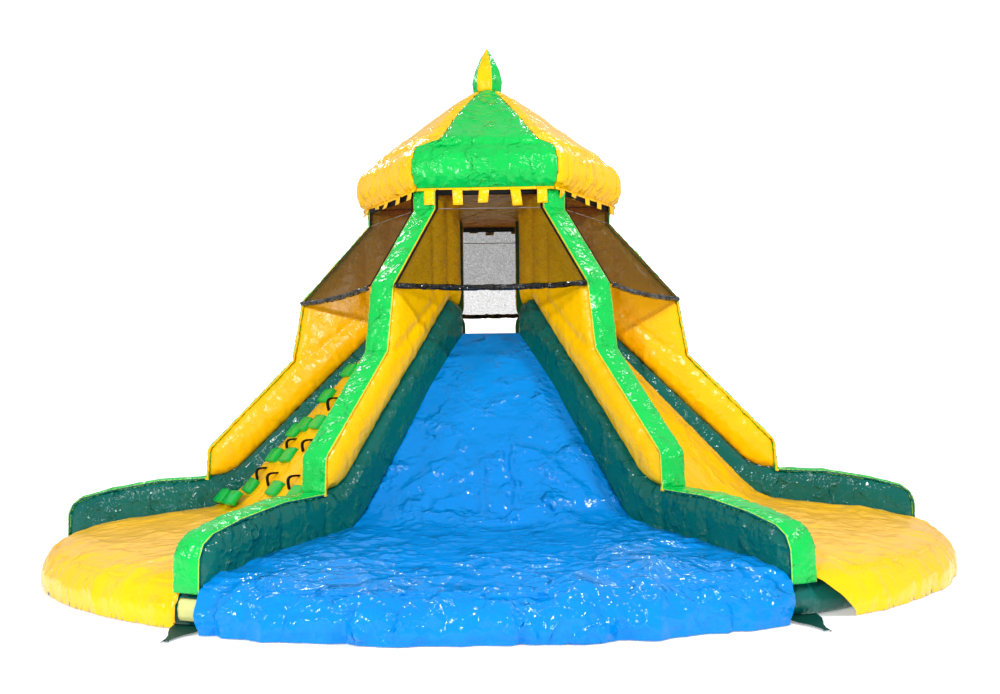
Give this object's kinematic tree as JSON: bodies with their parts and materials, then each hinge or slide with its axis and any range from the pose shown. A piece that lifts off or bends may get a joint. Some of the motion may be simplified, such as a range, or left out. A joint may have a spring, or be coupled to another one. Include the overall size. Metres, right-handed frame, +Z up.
{
  "type": "inflatable water slide tower",
  "caption": "Hexagonal inflatable tower of lanes: slides and a climbing lane run down between radial walls from a roofed platform with safety nets to a round base.",
  "frame": {"origin": "on the ground, in the middle of the round base", "axes": "+Z up through the spire, -Y out along the front slide, +X to the right when facing the front slide"},
  "size_m": [11, 10.24, 6.14],
  "materials": {
    "base_fabric": "dark teal PVC-coated fabric, glossy, inflated",
    "teal_fabric": "dark teal PVC-coated fabric, glossy, inflated tube",
    "yellow_fabric": "yellow PVC-coated fabric, glossy, inflated",
    "green_fabric": "bright green PVC-coated fabric, glossy",
    "spire_fabric": "yellow and green PVC-coated fabric, glossy",
    "blue_sheet": "loose blue PVC-coated sheet, glossy, wrinkled",
    "netting": "black knitted mesh netting"
  },
  "bodies": {
    "root": {"base": "base_fabric", "platform": "yellow_fabric", "tube_front_right": "teal_fabric", "panel_front_right": "yellow_fabric", "cap_front_right": "green_fabric", "tube_right": "teal_fabric", "panel_right": "yellow_fabric", "cap_right": "green_fabric", "tube_back_right": "teal_fabric", "panel_back_right": "yellow_fabric", "cap_back_right": "green_fabric", "tube_back_left": "teal_fabric", "panel_back_left": "yellow_fabric", "cap_back_left": "green_fabric", "tube_left": "teal_fabric", "panel_left": "yellow_fabric", "cap_left": "green_fabric", "tube_front_left": "teal_fabric", "panel_front_left": "yellow_fabric", "cap_front_left": "green_fabric", "slide_front": "blue_sheet", "slide_right": "yellow_fabric", "slide_back_right": "blue_sheet", "slide_back": "yellow_fabric", "slide_back_left": "blue_sheet", "climbing_lane": "yellow_fabric", "net_front": "netting", "net_right": "netting", "net_back_right": "netting", "net_back": "netting", "net_back_left": "netting", "net_left": "netting", "roof_front": "green_fabric", "roof_right": "yellow_fabric", "roof_back_right": "green_fabric", "roof_back": "yellow_fabric", "roof_back_left": "green_fabric", "roof_left": "yellow_fabric", "spire": "spire_fabric"}
  },
  "joints": []
}
